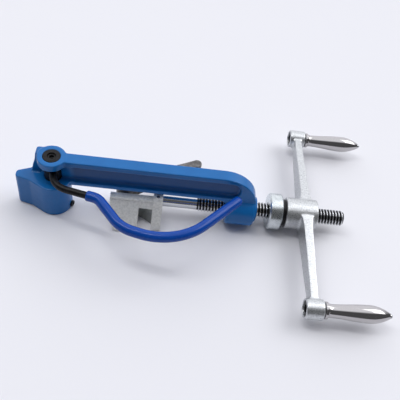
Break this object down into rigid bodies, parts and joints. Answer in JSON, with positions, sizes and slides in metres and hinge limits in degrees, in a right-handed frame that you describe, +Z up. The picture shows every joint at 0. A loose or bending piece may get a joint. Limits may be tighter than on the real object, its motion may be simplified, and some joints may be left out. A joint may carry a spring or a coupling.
{
  "type": "strapping tensioner",
  "caption": "Hand tool that tightens and cuts steel band: C-shaped frame, cutter in the nose, gripper on a long screw, two-armed windlass with turning handles.",
  "frame": {"origin": "middle of the whole tool's length and width, on the plane it lies on: the nose, the gripper's foot and the thrust collar rest there", "axes": "+X from the nose to the windlass along the tension screw, +Y to the side of the gripper lever, +Z up through the cutter shaft"},
  "size_m": [0.3702, 0.2426, 0.0673],
  "materials": {
    "blue_paint": "gloss blue enamel over a casting",
    "blue_sleeve": "dipped vinyl, glossy",
    "black_steel": "black oxide",
    "dark_steel": "oiled, as forged",
    "bright_steel": "ground and rolled bright",
    "spring_steel": "hardened spring steel",
    "rough_zinc": "sand cast, zinc plated",
    "cast_zinc": "cast, bright zinc plated",
    "turned_zinc": "turned, bright zinc plated",
    "handle_chrome": "turned and polished",
    "bronze": "oiled bearing bronze",
    "black_nylon": "moulded"
  },
  "bodies": {
    "frame_body": {"frame": "blue_paint", "screw_bush": "bronze", "shaft_retaining_screw": "black_steel"},
    "lever_body": {"cutter_shaft": "black_steel", "lever_rod": "black_steel", "lever_grip": "blue_sleeve", "lever_set_screw": "black_steel"},
    "collar_body": {"thrust_collar": "turned_zinc", "fixed_race": "bright_steel", "thrust_balls": "bright_steel", "ball_cage": "bronze"},
    "screw_body": {"tension_screw": "bright_steel", "gripper_block": "rough_zinc", "cross_pin": "bright_steel", "gripper_pivot_pin": "bright_steel", "pivot_clip": "spring_steel", "gripper_spring": "spring_steel"},
    "thumb_body": {"gripper_lever": "dark_steel"},
    "windlass_body": {"windlass": "cast_zinc", "tension_nut": "black_steel", "nut_pins": "spring_steel", "turning_race": "bright_steel", "retaining_ring": "spring_steel", "handle_stud_near": "bright_steel", "handle_stud_far": "bright_steel", "stud_nuts": "black_steel", "handle_washers": "black_nylon"},
    "handle_near_body": {"handle_near": "handle_chrome"},
    "handle_far_body": {"handle_far": "handle_chrome"}
  },
  "joints": [
    {"name": "cutter_lever_swing", "type": "hinge", "parent": "frame_body", "child": "lever_body", "pos_m": [-0.14915, 0, 0.05], "axis": [0, 0, -1], "range_deg": [0, 80]},
    {"name": "screw_slide", "type": "slide", "parent": "frame_body", "child": "collar_body", "axis": [1, 0, 0], "range_m": [-0.012, 0.02]},
    {"name": "windlass_turn", "type": "hinge", "parent": "collar_body", "child": "windlass_body", "pos_m": [0.07685, 0, 0.019], "axis": [-1, 0, 0], "range_deg": [-2160, 3960]},
    {"name": "screw_feed", "type": "slide", "parent": "collar_body", "child": "screw_body", "axis": [1, 0, 0], "range_m": [-0.02, 0.036]},
    {"name": "gripper_lever_press", "type": "hinge", "parent": "screw_body", "child": "thumb_body", "pos_m": [-0.07815, 0.0072, 0.019], "axis": [0, 0, -1], "range_deg": [0, 9], "stiffness_Nm_per_rad": 0.3, "springref_deg": -9.74, "deforming": ["gripper_spring"]},
    {"name": "handle_near_spin", "type": "hinge", "parent": "windlass_body", "child": "handle_near_body", "pos_m": [0.15085, -0.1114, 0.019], "axis": [1, 0, 0], "continuous": true},
    {"name": "handle_far_spin", "type": "hinge", "parent": "windlass_body", "child": "handle_far_body", "pos_m": [0.15085, 0.1114, 0.019], "axis": [1, 0, 0], "continuous": true}
  ],
  "couplings": [
    {"joint": "screw_feed", "follows": "windlass_turn", "m_per_rad": 0.0005093}
  ]
}
